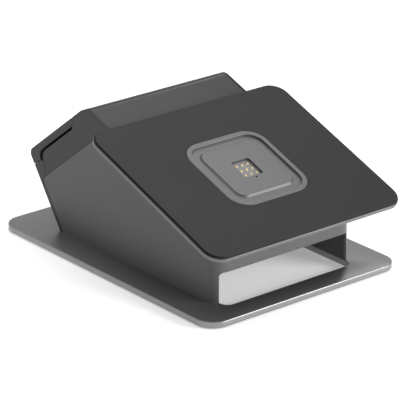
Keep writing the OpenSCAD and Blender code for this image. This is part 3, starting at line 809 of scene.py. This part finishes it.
board_green = circuit_board("green_circuit_board")
board = refined("contact_circuit_board", "contact_board", 0.1 * MM)
dress(board, board_green, "board_green", "stand", "contact_board")
ribbon_pale = ribbon_plastic("pale_ribbon")
ribbon = refined("flat_ribbon_cable", "contact_ribbon", 0.1 * MM)
dress(ribbon, ribbon_pale, "ribbon_white", "stand", "contact_ribbon")
BOARD_SCREWS = [(x * MM, y * MM) for x in (-15.5, 15.5) for y in (-17.5, 17.5)]
board_head = DOCK @ Matrix.Translation((0, 0, -9.4 * MM))
screwed("board_fixing_screws", BOARD_SCREWS, (1, 1.9, 1.4, 7.4), board_head, "board_screws")

# ---- Hub housing ----
# The black inner moulding behind the tray holds the electronics. A deep tub in its
# back slope holds the plugs, and its front wall has the sockets' openings.

hub_plastic = moulded_plastic("hub_black", 0.028, 0.5)
housing = refined("moulded_hub_housing", "hub_housing", 0.4 * MM)
dress(housing, hub_plastic, "hub_black", "stand", "hub_housing")

# ---- Ridge cover ----
# A bent dark cover runs over the hub's ridge from under the tray to the door. Its
# end faces get a near-black finish as painted shade, and two lugs at its rear carry the door's hinge pins.

cover_plastic = moulded_plastic("cover_dark", 0.030, 0.3)
shade_rim_plastic = moulded_plastic("painted_shade_rim", 0.004, 0.35, 2 * MM)
cover = refined("bent_ridge_cover", "ridge_cover", 0.4 * MM)
dress(cover, cover_plastic, "cover_dark", "stand", "ridge_cover")
# Painted shade: the cover's end faces get the near-black rim finish.
cover.data.materials.append(shade_rim_plastic)
for face in cover.data.polygons:
    if abs(face.normal.x) > 0.15:
        face.material_index = 1

# ---- Cheeks ----
# A dark moulded plate closes each end of the hub, over the grey side wall. Its rim
# is rounded and gets a near-black finish as painted shade, and a slot under the door's end is a finger grip.

cheek_plastic = moulded_plastic("cheek_dark", 0.040, 0.42)
# Painted shade: each cheek's rim and its rounding get the near-black rim finish.
for side in ("left", "right"):
    cheek = refined(f"moulded_cheek_{side}", f"cheek_{side}", 1.1 * MM)
    dress(cheek, cheek_plastic, "cheek_dark", "stand", f"cheek_{side}")
    cheek.data.materials.append(shade_rim_plastic)
    for face in cheek.data.polygons:
        if abs(face.normal.x) < 0.9:
            face.material_index = 1

# ---- Rear panel ----
# The rear panel wraps the foot of the hub, from the plate to the door's lower edge.
# A notch in its top rim lets the cables out.

panel = refined("moulded_rear_panel", "rear_panel", 0.3 * MM)
dress(panel, cheek_plastic, "hub_black", "stand", "rear_panel")

# ---- Rear door ----
# The door covers the hub's back slope and turns down over the rear. It is moulded
# hollow between ribs, and pivots at its front edge on two pins.

door = refined("moulded_rear_door", "rear_door", 0.35 * MM)
dress(door, cheek_plastic, "cheek_dark", "door", "rear_door")
pins = refined("ground_hinge_pins", "hinge_pins", 0.1 * MM)
dress(pins, turned_metal("ground_steel", 0.6, 0.2), "screw_steel", "stand", "hinge_pins")

# ---- Door catches ----
# Two small magnets in the door's lip hold it shut against two steel plates in the
# rear panel's rim.

door_magnets = refined("door_magnet_discs", "door_magnets", 0.2 * MM)
dress(door_magnets, nickel, "magnet_nickel", "door", "door_magnets")
plates = refined("catch_discs", "catch_plates", 0.15 * MM)
dress(plates, keeper_steel, "keeper_steel", "stand", "catch_plates")

# ---- Ports ----
# Four data sockets, a network socket and a round power inlet stand on a board behind
# the tub's front wall and face down the back slope.

port_board = refined("port_circuit_board", "port_board", 0.15 * MM)
dress(port_board, board_green, "board_green", "stand", "port_board")
tin = turned_metal("tin_plate", 0.6, 0.26)
usb = refined("data_sockets", "usb_sockets", 0.2 * MM)
dress(usb, tin, "socket_metal", "stand", "usb_sockets")
network = refined("network_jack", "network_socket", 0.25 * MM)
dress(network, tin, "socket_metal", "stand", "network_socket")
inlet_plastic = moulded_plastic("inlet_black", 0.014, 0.4)
inlet = refined("round_power_inlet", "power_inlet", 0.25 * MM)
dress(inlet, inlet_plastic, "inlet_black", "stand", "power_inlet")

# ---- Floor and light ----
# A plain white floor and a white sky. A large soft box hangs above, one stands to
# the right in front, and a small one behind lights the ridge.

FLOOR_HALF = 3.0


def floor_paint(name):
    """Plain white floor paint with a barely visible mottle."""
    material, wire, spot = new_finish(name)
    mottle = noise(spot, 0.3)
    colour = blend(mottle, grey(0.90), grey(0.93))
    glow = {"Emission_Color": (1, 1, 1, 1), "Emission_Strength": 0.3}
    close_finish(wire, colour, 0.7 + 0.1 * mottle, mottle, 0.0001, **glow)
    return material


bm = bmesh.new()
corners = [(x * FLOOR_HALF, y * FLOOR_HALF, 0) for x, y in ((-1, -1), (1, -1), (1, 1), (-1, 1))]
bm.faces.new([bm.verts.new(corner) for corner in corners])
floor = add_piece("floor", bm)
floor.data.materials.append(floor_paint("floor_white"))


def soft_box(name, place, aim, width, length, power):
    """A rectangular light that faces its aim."""
    light = bpy.data.lights.new(name, "AREA")
    light.shape = "RECTANGLE"
    light.size = width
    light.size_y = length
    light.energy = power
    lamp = bpy.data.objects.new(name, light)
    lamp.location = place
    lamp.rotation_euler = (Vector(aim) - Vector(place)).to_track_quat("-Z", "Y").to_euler()
    bpy.context.scene.collection.objects.link(lamp)


soft_box("top_box", (0.2, 0.3, 2.0), (0, 0, 0), 2.0, 2.0, 27)
soft_box("key_box", (1.45, -2.15, 0.7), (0, 0, 0.05), 1.5, 0.9, 72)
soft_box("ridge_box", (1.75, 1.5, 1.9), (0, 0.07, 0.15), 0.4, 0.5, 3.5)

sky = bpy.data.worlds.new("sky")
sky.use_nodes = True
sky.node_tree.nodes["Background"].inputs["Color"].default_value = (1, 1, 1, 1)
sky.node_tree.nodes["Background"].inputs["Strength"].default_value = 0.5
bpy.context.scene.world = sky
bpy.context.scene.view_settings.view_transform = "Standard"
